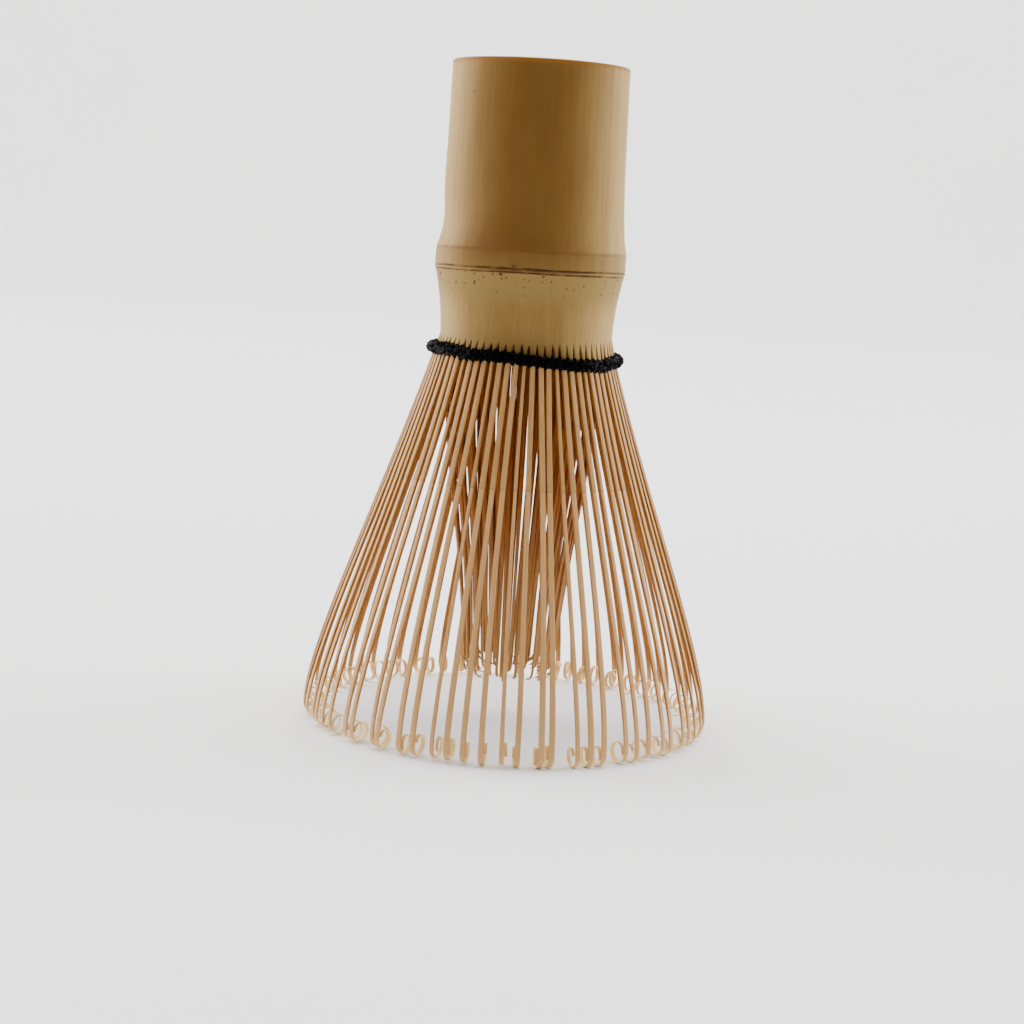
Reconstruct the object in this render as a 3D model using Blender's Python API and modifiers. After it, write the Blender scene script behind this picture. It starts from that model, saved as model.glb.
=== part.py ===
"""A bamboo tea whisk, standing on the curled tips of its tines with its handle up.

One length of bamboo makes the whole whisk. The culm above the slits is the handle. Below it the wall is split
into eighteen staves, and each stave into outer and inner tines. A black thread is wound round the tine roots.
Each stave flexes where the thread holds it, so each is its own piece, hung from an empty on that line.

Units are metres, +Z is up, and the origin is on the whisk's axis at the height of the tips.
"""

import math

import bmesh
import bpy
from mathutils import Matrix, Vector

MM = 0.001

# Overall
WHISK_HEIGHT = 100.0 * MM
STAVES = 18
TINES_PER_STAVE = 4
STAVE_ANGLE = 2 * math.pi / STAVES
FIRST_STAVE = math.radians(2.5)
TINE_ANGLE = STAVE_ANGLE / TINES_PER_STAVE
PIECE_GAP = 0.3 * MM

# Handle: the culm from its cut end down to the slits
HANDLE_STEPS = 48
RIM_RADIUS = 13.25 * MM
RIM_CHAMFER = 0.3 * MM
BORE_RADIUS = 10.4 * MM
NODE_Z = 69.5 * MM
NODE_RADIUS = 14.45 * MM
NECK_RADIUS = 13.1 * MM
NECK_Z = 59.2 * MM
CHAMBER_RADIUS = 10.3 * MM
SCAR_DEPTH = 0.18 * MM
SCAR_HALF_WIDTH = 0.15 * MM

# Roots: short arcs of the culm's wall that carry the tines
ROOT_TOP_Z = NECK_Z - PIECE_GAP
ROOT_HEIGHT = 1.0 * MM
ROOT_ARC_POINTS = 5
OUTER_ROOT_INSIDE = 12.0 * MM
INNER_ROOT_OUTSIDE = 11.5 * MM

# Outer tines
BIND_Z = 56.7 * MM
OUTER_BIND_RADIUS = 13.0 * MM
OUTER_TINE_WIDTH = 0.8 * MM
OUTER_ROOT_THICKNESS = 0.55 * MM
OUTER_TIP_THICKNESS = 0.28 * MM
LOOP_RADIUS = 1.65 * MM
LOOP_END_RADIUS = 1.2 * MM
LOOP_CENTRE_RADIUS = 29.6 * MM
LOOP_START = math.radians(10.7)
LOOP_STEP = (LOOP_START + math.pi / 2) / 3
LOOP_POINTS = 10
FLARE_POINTS = 5
FLARE_START_HANDLE = (6.6 * MM, -20.0 * MM)
FLARE_END_HANDLE = (-3.2 * MM, 17.0 * MM)

# Inner tines
INNER_BIND_RADIUS = 10.85 * MM
INNER_TINE_WIDTH = 0.4 * MM
INNER_ROOT_THICKNESS = 0.45 * MM
INNER_TIP_THICKNESS = 0.25 * MM
INNER_TIP_RADIUS = 7.0 * MM
INNER_TIP_Z = 8.0 * MM
INNER_POINTS = 5
INNER_BELLY = ((INNER_BIND_RADIUS, 46.0 * MM), (7.6 * MM, 30.0 * MM))

# Binding thread
THREAD_DIAMETER = 0.95 * MM
THREAD_PITCH = 1.1 * MM
THREAD_TURNS = 2
THREAD_TOP_Z = BIND_Z + THREAD_PITCH
THREAD_TOP_RADIUS = 14.0 * MM
THREAD_BOTTOM_RADIUS = 14.45 * MM
THREAD_START = math.radians(-131)
THREAD_POINTS_PER_TURN = 40
INSIDE_THREAD_DIAMETER = 0.6 * MM
INSIDE_THREAD_RADIUS = 11.85 * MM

BAMBOO_SKIN = (0.62, 0.46, 0.25)
BAMBOO_INNER = (0.55, 0.36, 0.17)
THREAD_BLACK = (0.012, 0.012, 0.016)


def clear_scene():
    for obj in list(bpy.data.objects):
        bpy.data.objects.remove(obj, do_unlink=True)


def new_collection(name):
    collection = bpy.data.collections.new(name)
    bpy.context.scene.collection.children.link(collection)
    return collection


def new_material(name, colour, roughness):
    material = bpy.data.materials.new(name)
    material.use_nodes = True
    shader = material.node_tree.nodes["Principled BSDF"]
    shader.inputs["Base Color"].default_value = (*colour, 1.0)
    shader.inputs["Roughness"].default_value = roughness
    shader.inputs["Metallic"].default_value = 0.0
    return material


def new_object(name, data, collection):
    obj = bpy.data.objects.new(name, data)
    collection.objects.link(obj)
    return obj


def to_mesh_object(obj, name, collection):
    """Makes a welded mesh object of what obj evaluates to, in place of obj."""
    bpy.context.view_layer.update()
    graph = bpy.context.evaluated_depsgraph_get()
    mesh = bpy.data.meshes.new_from_object(obj.evaluated_get(graph))
    welded = bmesh.new()
    welded.from_mesh(mesh)
    bmesh.ops.remove_doubles(welded, verts=welded.verts, dist=0.001 * MM)
    welded.to_mesh(mesh)
    welded.free()
    made = new_object(name, mesh, collection)
    made.matrix_world = obj.matrix_world
    bpy.data.objects.remove(obj, do_unlink=True)
    return made


def turned(name, profile, material, collection):
    """A turned piece, from (radius, height) points that run from the axis back to the axis, down the outside."""
    mesh = bpy.data.meshes.new(name)
    edges = [(i, i + 1) for i in range(len(profile) - 1)]
    mesh.from_pydata([(radius, 0, z) for radius, z in profile], edges, [])
    mesh.materials.append(material)
    obj = new_object(name, mesh, collection)
    screw = obj.modifiers.new("Turn", "SCREW")
    screw.steps = HANDLE_STEPS
    screw.render_steps = HANDLE_STEPS
    screw.use_merge_vertices = True
    screw.merge_threshold = 0.05 * MM
    screw.use_smooth_shade = True
    return obj


def bezier_point(corners, t):
    """The point at t on the cubic curve with these four (radius, height) corners."""
    weights = ((1 - t) ** 3, 3 * t * (1 - t) ** 2, 3 * t * t * (1 - t), t**3)
    return tuple(sum(w * corner[k] for w, corner in zip(weights, corners)) for k in (0, 1))


def band_outline(centreline, start_thickness, end_thickness):
    """The closed outline of a thin band about a centreline, tapering from one thickness to the other."""
    one_side = []
    other_side = []
    last = len(centreline) - 1
    for i, point in enumerate(centreline):
        before = Vector(centreline[max(i - 1, 0)])
        after = Vector(centreline[min(i + 1, last)])
        along = (after - before).normalized()
        half = 0.5 * (start_thickness + (end_thickness - start_thickness) * i / last)
        across = Vector((-along.y, along.x)) * half
        one_side.append(Vector(point) + across)
        other_side.append(Vector(point) - across)
    return one_side + other_side[::-1]


def extruded_outline(name, outline, depth, collection):
    """A flat outline extruded by depth, as a mesh object in the XY plane."""
    curve = bpy.data.curves.new(name, "CURVE")
    curve.dimensions = "2D"
    curve.fill_mode = "BOTH"
    curve.extrude = depth / 2
    spline = curve.splines.new("POLY")
    spline.points.add(len(outline) - 1)
    for point, (x, y) in zip(spline.points, outline):
        point.co = (x, y, 0, 1)
    spline.use_cyclic_u = True
    return to_mesh_object(new_object(name, curve, collection), name, collection)


def stood_up(azimuth):
    """Turns a drawing of (radius, height) in the XY plane to stand in the vertical plane at that azimuth."""
    return Matrix.Rotation(azimuth, 4, "Z") @ Matrix.Rotation(math.pi / 2, 4, "X")


def outer_centreline(loop_centre_z):
    """(radius, height) points of an outer tine: out of its root, past the thread, down the flare and round its loop."""
    centre = Vector((LOOP_CENTRE_RADIUS, loop_centre_z))
    loop = []
    for i in range(LOOP_POINTS + 1):
        angle = LOOP_START - LOOP_STEP * i
        radius = LOOP_RADIUS + (LOOP_END_RADIUS - LOOP_RADIUS) * i / LOOP_POINTS
        loop.append(centre + radius * Vector((math.cos(angle), math.sin(angle))))
    start = Vector((OUTER_BIND_RADIUS, BIND_Z))
    corners = (
        start,
        start + Vector(FLARE_START_HANDLE),
        loop[0] + Vector(FLARE_END_HANDLE),
        loop[0],
    )
    flare = [bezier_point(corners, i / FLARE_POINTS) for i in range(FLARE_POINTS)]
    root = ((OUTER_ROOT_INSIDE + NECK_RADIUS) / 2, ROOT_TOP_Z - ROOT_HEIGHT / 2)
    return [root, *flare, *[tuple(point) for point in loop]]


def outer_outline():
    """The outline of an outer tine, with its loop set at the height where it just touches the ground."""
    centre_z = LOOP_RADIUS
    for _ in range(2):
        centreline = outer_centreline(centre_z)
        outline = band_outline(centreline, OUTER_ROOT_THICKNESS, OUTER_TIP_THICKNESS)
        centre_z -= min(z for _, z in outline)
    return outline


def inner_centreline():
    """(radius, height) points of an inner tine: out of its root and in towards the middle of the whisk."""
    root = (INNER_BIND_RADIUS, ROOT_TOP_Z - ROOT_HEIGHT / 2)
    corners = (root, *INNER_BELLY, (INNER_TIP_RADIUS, INNER_TIP_Z))
    return [bezier_point(corners, i / INNER_POINTS) for i in range(INNER_POINTS + 1)]


def root_arc(name, inside, outside, collection):
    """The arc of culm wall at the head of one stave, centred on azimuth 0."""
    half_angle = STAVE_ANGLE / 2 - PIECE_GAP / (inside + outside)
    angles = [half_angle * (2 * i / (ROOT_ARC_POINTS - 1) - 1) for i in range(ROOT_ARC_POINTS)]
    outline = [(outside * math.cos(a), outside * math.sin(a)) for a in angles]
    outline += [(inside * math.cos(a), inside * math.sin(a)) for a in reversed(angles)]
    arc = extruded_outline(name, outline, ROOT_HEIGHT, collection)
    arc.location.z = ROOT_TOP_Z - ROOT_HEIGHT / 2
    return arc


def stave_mesh(name, arc, outline, tine_width, collection):
    """One stave at azimuth 0, as a mesh: its root arc with its tines joined to it."""
    tines = []
    for i in range(TINES_PER_STAVE):
        tine = extruded_outline(f"{name}_tine_{i}", outline, tine_width, collection)
        tine.matrix_world = stood_up((i - (TINES_PER_STAVE - 1) / 2) * TINE_ANGLE)
        union = arc.modifiers.new(f"Tine {i}", "BOOLEAN")
        union.operation = "UNION"
        union.object = tine
        tines.append(tine)
    joined = to_mesh_object(arc, name, collection)
    mesh = joined.data
    mesh.transform(joined.matrix_world)
    for obj in (joined, *tines):
        bpy.data.objects.remove(obj, do_unlink=True)
    return mesh


def place_staves(prefix, mesh, bind_radius, material, collection):
    """Sets copies of a stave all round the axis, each on an empty where the thread holds it."""
    pivot = Vector((bind_radius, 0, BIND_Z))
    mesh.transform(Matrix.Translation(-pivot))
    mesh.materials.clear()
    mesh.materials.append(material)
    for i in range(STAVES):
        azimuth = FIRST_STAVE + i * STAVE_ANGLE
        hinge = new_object(f"{prefix}_{i + 1:02d}_hinge", None, collection)
        hinge.location = Matrix.Rotation(azimuth, 4, "Z") @ pivot
        hinge.rotation_euler.z = azimuth
        stave = new_object(f"{prefix}_{i + 1:02d}", mesh, collection)
        stave.parent = hinge


def handle_profile():
    """(radius, height) points of the culm: over the diaphragm, up the bore, down the outside, up the chamber."""
    bore = [
        (0.0, NODE_Z + 1.4 * MM),
        (6.0 * MM, NODE_Z + 1.7 * MM),
        (9.2 * MM, NODE_Z + 2.9 * MM),
        (10.0 * MM, NODE_Z + 5.0 * MM),
        (BORE_RADIUS, WHISK_HEIGHT - RIM_CHAMFER),
        (BORE_RADIUS + RIM_CHAMFER, WHISK_HEIGHT),
    ]
    outside = [
        (RIM_RADIUS - RIM_CHAMFER, WHISK_HEIGHT),
        (RIM_RADIUS, WHISK_HEIGHT - RIM_CHAMFER),
        (13.45 * MM, 87.0 * MM),
        (13.72 * MM, 80.0 * MM),
        (13.95 * MM, 76.0 * MM),
        (14.28 * MM, 73.6 * MM),
        (NODE_RADIUS, 72.2 * MM),
        (14.38 * MM, 70.8 * MM),
        (NODE_RADIUS, NODE_Z + SCAR_HALF_WIDTH),
        (NODE_RADIUS - SCAR_DEPTH, NODE_Z),
        (NODE_RADIUS, NODE_Z - SCAR_HALF_WIDTH),
        (13.88 * MM, 67.0 * MM),
        (13.45 * MM, 64.6 * MM),
        (13.18 * MM, 62.4 * MM),
        (NECK_RADIUS, NECK_Z + 1.4 * MM),
        (NECK_RADIUS, NECK_Z),
    ]
    chamber = [
        (CHAMBER_RADIUS, NECK_Z),
        (CHAMBER_RADIUS, NODE_Z - 3.4 * MM),
        (9.2 * MM, NODE_Z - 1.9 * MM),
        (6.0 * MM, NODE_Z - 1.2 * MM),
        (0.0, NODE_Z - 0.9 * MM),
    ]
    return bore + outside + chamber


def cord(name, points, diameter, closed, material, collection):
    curve = bpy.data.curves.new(name, "CURVE")
    curve.dimensions = "3D"
    curve.bevel_depth = diameter / 2
    curve.bevel_resolution = 2
    curve.use_fill_caps = not closed
    spline = curve.splines.new("POLY")
    spline.points.add(len(points) - 1)
    for point, place in zip(spline.points, points):
        point.co = (*place, 1)
    spline.use_cyclic_u = closed
    curve.materials.append(material)
    return new_object(name, curve, collection)


def outside_thread_points():
    """Two turns of thread wound down over the flaring roots."""
    count = THREAD_TURNS * THREAD_POINTS_PER_TURN
    points = []
    for i in range(count + 1):
        share = i / count
        angle = THREAD_START + share * THREAD_TURNS * 2 * math.pi
        radius = THREAD_TOP_RADIUS + (THREAD_BOTTOM_RADIUS - THREAD_TOP_RADIUS) * share
        z = THREAD_TOP_Z - share * THREAD_TURNS * THREAD_PITCH
        points.append((radius * math.cos(angle), radius * math.sin(angle), z))
    return points


def inside_thread_points():
    """The one turn of thread that runs between the outer and the inner tines."""
    angles = [2 * math.pi * i / THREAD_POINTS_PER_TURN for i in range(THREAD_POINTS_PER_TURN)]
    radius = INSIDE_THREAD_RADIUS
    return [(radius * math.cos(a), radius * math.sin(a), BIND_Z) for a in angles]


def main():
    clear_scene()
    parts = new_collection("bamboo_tea_whisk")
    bamboo = new_material("bamboo_skin", BAMBOO_SKIN, 0.45)
    inner_bamboo = new_material("bamboo_inner", BAMBOO_INNER, 0.6)
    black = new_material("black_thread", THREAD_BLACK, 0.85)

    turned("handle", handle_profile(), bamboo, parts)

    arc = root_arc("outer_root", OUTER_ROOT_INSIDE, NECK_RADIUS, parts)
    outer = stave_mesh("outer_stave", arc, outer_outline(), OUTER_TINE_WIDTH, parts)
    place_staves("outer_tines", outer, OUTER_BIND_RADIUS, bamboo, parts)

    arc = root_arc("inner_root", CHAMBER_RADIUS, INNER_ROOT_OUTSIDE, parts)
    outline = band_outline(inner_centreline(), INNER_ROOT_THICKNESS, INNER_TIP_THICKNESS)
    inner = stave_mesh("inner_stave", arc, outline, INNER_TINE_WIDTH, parts)
    place_staves("inner_tines", inner, INNER_BIND_RADIUS, inner_bamboo, parts)

    cord("binding_thread", outside_thread_points(), THREAD_DIAMETER, False, black, parts)
    cord("binding_thread_inside", inside_thread_points(), INSIDE_THREAD_DIAMETER, True, black, parts)


main()
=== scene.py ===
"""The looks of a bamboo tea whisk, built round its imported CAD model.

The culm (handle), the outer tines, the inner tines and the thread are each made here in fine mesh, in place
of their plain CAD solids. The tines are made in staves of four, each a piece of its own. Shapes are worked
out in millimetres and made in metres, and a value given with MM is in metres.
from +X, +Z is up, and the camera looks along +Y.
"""

import math
import random

import bpy
import numpy as np
from mathutils import Euler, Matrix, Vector


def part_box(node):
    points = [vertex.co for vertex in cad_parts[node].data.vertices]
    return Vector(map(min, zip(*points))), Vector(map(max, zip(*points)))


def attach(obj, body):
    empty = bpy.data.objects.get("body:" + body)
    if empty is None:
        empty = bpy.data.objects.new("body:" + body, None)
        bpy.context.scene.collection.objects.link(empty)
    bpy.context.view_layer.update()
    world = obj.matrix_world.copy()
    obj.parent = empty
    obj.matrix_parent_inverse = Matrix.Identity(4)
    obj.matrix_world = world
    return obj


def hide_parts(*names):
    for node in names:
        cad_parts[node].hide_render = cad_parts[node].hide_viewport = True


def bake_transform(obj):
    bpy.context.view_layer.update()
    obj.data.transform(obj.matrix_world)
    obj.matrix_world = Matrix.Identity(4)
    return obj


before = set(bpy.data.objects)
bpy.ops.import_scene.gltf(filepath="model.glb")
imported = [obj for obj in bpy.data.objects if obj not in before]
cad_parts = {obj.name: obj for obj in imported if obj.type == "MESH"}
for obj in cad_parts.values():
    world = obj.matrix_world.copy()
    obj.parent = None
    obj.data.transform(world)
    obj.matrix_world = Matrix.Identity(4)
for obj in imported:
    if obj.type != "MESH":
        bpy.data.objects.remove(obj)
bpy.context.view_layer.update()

MM = 0.001
SEED = 7

# The whisk, as in the CAD model
STAVES = 18
TINES_PER_STAVE = 4
TINES = STAVES * TINES_PER_STAVE
TINE_PITCH = 360 / TINES
FIRST_STAVE = 2.5
TOP_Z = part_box("handle")[1].z
HINGE_Z = 56.7 * MM

# Culm: height and outer radius, from the cut end down to the slits
CULM_PROFILE = (
    (100.0, 13.25), (88.0, 13.42), (80.0, 13.65), (75.0, 14.0), (73.5, 14.22), (72.4, 14.42), (71.0, 14.38),
    (69.6, 14.42), (68.4, 14.1), (67.0, 13.82), (64.0, 13.35), (61.0, 13.1), (58.0, 13.1),
)
NODE_LINE_Z = 72.4
SCAR_LINES_Z = (69.78, 69.24)
BORE_RADIUS = 10.4
CHAMBER_RADIUS = 10.3
RIM_CHAMFER = 0.12

# Slits, and the strips between them, which pass into the outer tines behind the winding
SLIT_TOP_Z = 59.0
SLIT_LEAN = 0.3
SLIT_RISE = 0.75
STRIP_END_RADIUS = 13.75
STRIP_END_RISE = 0.1
STRIP_THICKNESS = 0.55
STRIP_COLUMNS = 6
STRIP_HALF_WIDTH = 0.38
STRIP_SHARES = (0.12, 0.27, 0.45, 0.65, 0.85, 1.0)

# Outer tines: how far in degrees their tips stand off their even places, and how far the front ones close up
# towards the front. The last tine of each stave is narrower. A small ledge marks each one at the same height.
LEAN = 1.7
FRONT_CLOSING = 1.7
NARROW_SHARE = 0.65
MARK_Z = 38.2
LEDGE = 0.22
LOOP_RADIUS = 1.5
LOOP_TIGHTENING = 0.28
LOOP_TURNS = (345, 365, 385, 400)
RING_RADIUS = 31.27

# Inner tines, where they end in the middle bundle
INNER_TIP_RADIUS = 7.0
INNER_TIP_Z = 9.6

# Thread: height of its middle, by degrees on from the step where its ends meet
THREAD_STEP_AZIMUTH = -131
THREAD_HEIGHT = (
    (0, 56.8), (25, 56.95), (55, 56.5), (90, 56.1), (130, 56.6), (200, 56.8), (270, 57.0), (335, 57.25),
    (360, 57.15),
)
YARN_ROW = 0.42
YARN_DIAMETER = 0.95
FIRST_TURN_RADIUS = 14.2
SECOND_TURN_RADIUS = 14.05
BACK_TURN_RADIUS = 13.95
BACK_TURN_DIAMETER = 0.8
STITCH_DIAMETER = 0.52
STITCH_MIDDLE_RADIUS = 13.75
STITCH_REACH = (1.15, 0.9)
INSIDE_TURN_RADIUS = 11.95
INSIDE_TURN_Z = 56.75
INSIDE_TURN_DIAMETER = 0.6
LOOSE_FIBRES = 150
GOLDEN_ANGLE = 2.399963

rng = random.Random(SEED)


# ---------------------------------------------------------------- shapes

def smooth_curve(points, samples):
    """Points along a Catmull-Rom curve through the given ones, that many to each stretch."""
    p = np.array(points, float)
    p = np.vstack([2 * p[0] - p[1], p, 2 * p[-1] - p[-2]])
    t = np.linspace(0, 1, samples, endpoint=False)[:, None]
    pieces = []
    for a, b, c, d in zip(p, p[1:], p[2:], p[3:]):
        pieces.append(0.5 * (2 * b + (c - a) * t + (2 * a - 5 * b + 4 * c - d) * t**2
                             + (3 * b - a - 3 * c + d) * t**3))
    return np.vstack([*pieces, p[-2]])


CULM_CURVE = smooth_curve(CULM_PROFILE, 12)[::-1]
THREAD_CURVE = smooth_curve(THREAD_HEIGHT, 8)


def culm_radius(z_mm):
    return np.interp(z_mm, CULM_CURVE[:, 0], CULM_CURVE[:, 1])


def thread_middle(azimuth_deg):
    """Height of the middle of the winding."""
    return np.interp((azimuth_deg - THREAD_STEP_AZIMUTH) % 360, THREAD_CURVE[:, 0], THREAD_CURVE[:, 1])


def strip_end(azimuth_deg):
    """Height at which a culm strip passes into its tine, behind the winding."""
    return thread_middle(azimuth_deg) + STRIP_END_RISE


def bump(x, centre, width):
    return np.exp(-((x - centre) / width) ** 2)


def ease(x):
    x = np.clip(x, 0, 1)
    return x * x * (3 - 2 * x)


def new_object(name, vertices, faces):
    mesh = bpy.data.meshes.new(name)
    mesh.from_pydata([tuple(v) for v in vertices], [], faces)
    mesh.shade_smooth()
    mesh.update()
    obj = bpy.data.objects.new(name, mesh)
    bpy.context.scene.collection.objects.link(obj)
    return obj


def set_attribute(obj, name, values):
    attribute = obj.data.attributes.new(name, "FLOAT", "POINT")
    attribute.data.foreach_set("value", np.asarray(values, np.float32).ravel())


def set_uv(obj, coordinates):
    """Stores one (u, v) for each vertex, in mm, as the mesh's UV map."""
    loops = np.zeros(len(obj.data.loops), np.int32)
    obj.data.loops.foreach_get("vertex_index", loops)
    layer = obj.data.uv_layers.new(name="UVMap")
    layer.data.foreach_set("uv", np.asarray(coordinates, np.float32)[loops].ravel())


class Tubes:
    """Collects closed tubes, given as rings of points, into the one mesh of a piece."""

    def __init__(self):
        self.vertices, self.faces, self.values, self.uv = [], [], {}, []

    def add(self, rings, uv=None, **values):
        count, sides, _ = rings.shape
        first = sum(len(v) for v in self.vertices)
        self.vertices.append(rings.reshape(-1, 3))
        index = first + np.arange(count * sides).reshape(count, sides)
        around = np.roll(index, -1, axis=1)
        quads = np.stack([index[:-1], around[:-1], around[1:], index[1:]], axis=-1).reshape(-1, 4)
        self.faces += quads.tolist() + [index[0][::-1].tolist(), index[-1].tolist()]
        self.uv.append(np.zeros((count * sides, 2)) if uv is None else uv.reshape(-1, 2))
        for name, value in values.items():
            self.values.setdefault(name, []).append(np.broadcast_to(value, (count, sides)).ravel())

    def build(self, name):
        obj = new_object(name, np.vstack(self.vertices), self.faces)
        set_uv(obj, np.vstack(self.uv))
        for key, parts in self.values.items():
            set_attribute(obj, key, np.concatenate(parts))
        return obj


def cylindrical(radius, azimuth_deg, z):
    """(n, 3) points from radii, azimuths in degrees and heights."""
    a = np.radians(azimuth_deg)
    return np.stack(np.broadcast_arrays(radius * np.cos(a), radius * np.sin(a), z), axis=-1)


# ---------------------------------------------------------------- culm

def slit_top(azimuth_deg):
    """Height of a slit's top: lowest at the front and the back, highest on the right."""
    c = np.cos(np.radians(azimuth_deg))
    return SLIT_TOP_Z + SLIT_LEAN * c + SLIT_RISE * c**2


def node_wave(azimuth_deg):
    """The node's lines are not quite level."""
    a = np.radians(azimuth_deg)
    return 0.10 * np.sin(a + 2.2) + 0.06 * np.sin(3 * a + 0.4) + 0.03 * np.sin(7 * a + 1.0)


def culm_rows():
    """Heights of the culm's rows of points, closer together at the node's lines."""
    stretches = (
        (TOP_Z / MM - RIM_CHAMFER, 73.4, -1.1), (73.3, 71.6, -0.09), (71.5, 70.4, -0.35),
        (70.35, 68.7, -0.055), (68.6, 61.0, -0.75), (60.6, 60.0, -1.0),
    )
    return np.concatenate([np.arange(*stretch) for stretch in stretches])


def culm_relief(azimuth_deg, z):
    """How far the surface stands off the culm's profile: fibres, the node's lines, and out of round."""
    a = np.radians(azimuth_deg)
    fibres = sum(np.sin(k * a + 1.7 * k + 0.02 * z * s) for k, s in ((53, 1), (89, -1), (131, 1), (173, -1)))
    relief = 0.0035 * fibres + 0.05 * np.cos(2 * a + 0.8)
    relief = relief - 0.5 * ease((0.6 - np.cos(a)) / 1.6) * bump(z, 76.4, 3.4)
    depth = 0.75 + 0.25 * np.sin(5 * a) * np.sin(11 * a + 1)
    relief = relief - 0.05 * depth * bump(z, NODE_LINE_Z, 0.13)
    relief = relief - 0.2 * depth * bump(z, SCAR_LINES_Z[0], 0.1) - 0.16 * bump(z, SCAR_LINES_Z[1], 0.09)
    return relief + 0.06 * bump(z, sum(SCAR_LINES_Z) / 2, 0.11)


def scar_fill(azimuth_deg, z):
    """On the front the stain runs together between the two lines, with one blotch above them."""
    turned = (azimuth_deg + 180) % 360 - 180
    between = 0.8 * bump(z, sum(SCAR_LINES_Z) / 2, 0.24) * bump(turned, -96, 34)
    blotch = 1.2 * bump(z, 70.05, 0.26) * bump(turned, -98.5, 2.6)
    return np.minimum(between + blotch, 1.0)


class CulmMesh:
    """The culm's points and faces as they are added, with what its skin's material reads at each point."""

    def __init__(self):
        self.columns = TINES * STRIP_COLUMNS
        self.azimuth = np.arange(self.columns) * 360 / self.columns + TINE_PITCH / 2
        self.vertices, self.faces, self.scar, self.line = [], [], [], []

    def add_points(self, points, scar=0.0, line=0.0):
        first = len(self.vertices)
        self.vertices.extend(points.tolist())
        self.scar.extend(np.broadcast_to(scar, len(points)).tolist())
        self.line.extend(np.broadcast_to(line, len(points)).tolist())
        return list(range(first, len(self.vertices)))

    def add_ring(self, radius, z, **values):
        return self.add_points(cylindrical(radius * MM, self.azimuth, z * MM), **values)

    def add_bands(self, rings):
        for upper, lower in zip(rings, rings[1:]):
            for i in range(self.columns):
                j = (i + 1) % self.columns
                self.faces.append((upper[i], lower[i], lower[j], upper[j]))


def bore_rings(culm):
    """From the top of the diaphragm up the bore to the rim."""
    a = np.radians(culm.azimuth)
    top = TOP_Z / MM
    wave = 0.04 * np.sin(6 * a) + 0.03 * np.sin(17 * a)
    bore = ((6.0, 71.3), (8.6, 71.9), (9.6, 73.0), (10.0, 75.0), (10.2, 84.0), (10.35, 95.0),
            (BORE_RADIUS, top - 0.2), (BORE_RADIUS + 0.2, top))
    rings = [culm.add_ring(0.4, 71.0)]
    for radius, z in bore:
        rings.append(culm.add_ring(radius + wave * (z < top - 1), z))
    return rings


def rim_rings(culm):
    """The cut end: its middle and its outer edge."""
    top = TOP_Z / MM
    rim_radius = culm_radius(top)
    out_of_round = 0.05 * np.cos(2 * np.radians(culm.azimuth) + 0.8)
    middle = culm.add_ring((BORE_RADIUS + rim_radius) / 2, top)
    return [middle, culm.add_ring(rim_radius - RIM_CHAMFER + out_of_round, top)]


def skin_rings(culm):
    """The outside, from the cut end down to just above the slits."""
    wave = node_wave(culm.azimuth)
    rings = []
    for z in culm_rows():
        radius = culm_radius(z) + culm_relief(culm.azimuth, z)
        scar = np.maximum(max(bump(z, s, 0.15) for s in SCAR_LINES_Z), scar_fill(culm.azimuth, z))
        line = bump(z, NODE_LINE_Z, 0.22)
        rings.append(culm.add_ring(radius, z + wave * bump(z, 71.0, 3.0), scar=scar, line=line))
    return rings


def slit_heights(culm):
    """The height of each column's end, ragged at the slits."""
    ragged = np.repeat([rng.uniform(-0.32, 0.25) for _ in range(TINES)], STRIP_COLUMNS)
    is_slit = np.arange(culm.columns) % STRIP_COLUMNS == 0
    return slit_top(culm.azimuth) + np.where(is_slit, ragged, 0.0)


def chamber_rings(culm):
    """From above the strips up the lower chamber to the underside of the diaphragm."""
    rings = [culm.add_ring(CHAMBER_RADIUS + 0.2, slit_top(culm.azimuth) + 0.2)]
    underside = ((9.4, 67.4), (6.0, 68.2), (0.4, 68.5))
    for radius, z in ((CHAMBER_RADIUS, 61.0), (CHAMBER_RADIUS - 0.1, 66.0), *underside):
        rings.append(culm.add_ring(radius, z))
    return rings


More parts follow.
